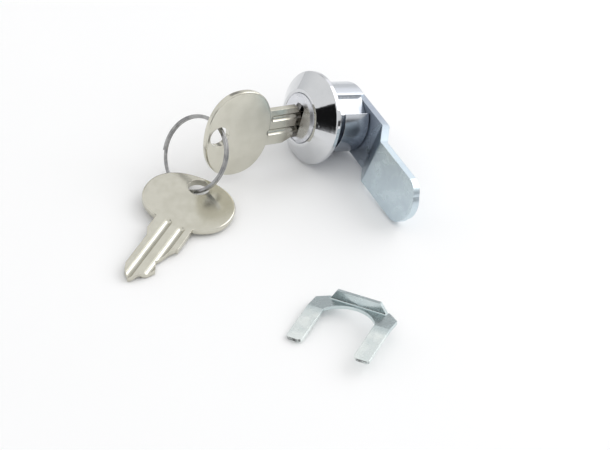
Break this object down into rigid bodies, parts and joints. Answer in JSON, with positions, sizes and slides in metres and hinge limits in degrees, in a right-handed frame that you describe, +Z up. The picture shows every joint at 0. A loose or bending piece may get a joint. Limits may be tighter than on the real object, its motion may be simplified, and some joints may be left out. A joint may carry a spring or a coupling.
{
  "type": "cam lock",
  "caption": "Quarter-turn cam lock with a cone-flanged barrel, cranked cam, key in the keyway, spare key on a split ring and a loose horseshoe retaining clip.",
  "frame": {"origin": "on the table, under the middle of the whole group", "axes": "+X from the lock's axis towards the cam's arm, +Y the way the lock's axis runs over the table from nose to tail, +Z up from the table"},
  "size_m": [0.0912, 0.085, 0.0266],
  "materials": {
    "chrome": "bright chrome plate on die-cast zinc",
    "plug_chrome": "chrome plate, slightly softer than the housing",
    "zinc_plate": "bluish zinc plate on pressed steel",
    "zinc_screw": "zinc-plated steel",
    "spring_steel": "plated spring steel",
    "wafer_brass": "stamped brass",
    "spring_wire": "drawn spring wire",
    "nickel_key": "nickel plate on brass, warm grey",
    "ring_steel": "nickel-plated steel wire",
    "clip_zinc": "zinc-plated spring steel, faint green tint"
  },
  "bodies": {
    "housing": {"housing": "chrome"},
    "plug": {"plug": "plug_chrome", "cam": "zinc_plate", "cam_screw": "zinc_screw", "lock_washer": "spring_steel", "retainer_wafer": "wafer_brass", "retainer_spring": "spring_wire", "wafer_spring_1": "spring_wire", "wafer_spring_2": "spring_wire", "wafer_spring_3": "spring_wire", "wafer_spring_4": "spring_wire", "wafer_spring_5": "spring_wire"},
    "wafers": {"wafer_1": "wafer_brass", "wafer_2": "wafer_brass", "wafer_3": "wafer_brass", "wafer_4": "wafer_brass", "wafer_5": "wafer_brass"},
    "key": {"key": "nickel_key"},
    "key_ring": {"key_ring": "ring_steel"},
    "spare_key": {"spare_key": "nickel_key"},
    "spring_clip": {"spring_clip": "clip_zinc"}
  },
  "joints": [
    {"name": "plug_turn", "type": "hinge", "parent": "housing", "child": "plug", "pos_m": [-0.03309, 0.02517, 0.01211], "axis": [0, -0.9687, 0.2484], "range_deg": [0, 90]},
    {"name": "key_slide", "type": "slide", "parent": "plug", "child": "key", "axis": [0.0113, -0.9902, 0.1394], "range_m": [-0.0006, 0.014]},
    {"name": "wafer_drop", "type": "slide", "parent": "plug", "child": "wafers", "axis": [0.1011, -0.2471, -0.9637], "range_m": [-0.0001, 0.0005]},
    {"name": "ring_swing", "type": "hinge", "parent": "key", "child": "key_ring", "pos_m": [-0.03207, -0.00366, 0.0167], "axis": [-0.9371, -0.0093, 0.3489], "range_deg": [-12, 12]},
    {"name": "spare_key_swing", "type": "hinge", "parent": "key_ring", "child": "spare_key", "pos_m": [-0.02784, -0.01188, 0.00257], "axis": [0.6755, 0.5173, 0.5255], "range_deg": [-8, 8]},
    {"name": "clip_lift", "type": "slide", "parent": "housing", "child": "spring_clip", "axis": [0, 0, 1], "range_m": [0, 0.04]}
  ],
  "couplings": [
    {"joint": "wafer_drop", "follows": "key_slide", "ratio": 0.03214}
  ]
}
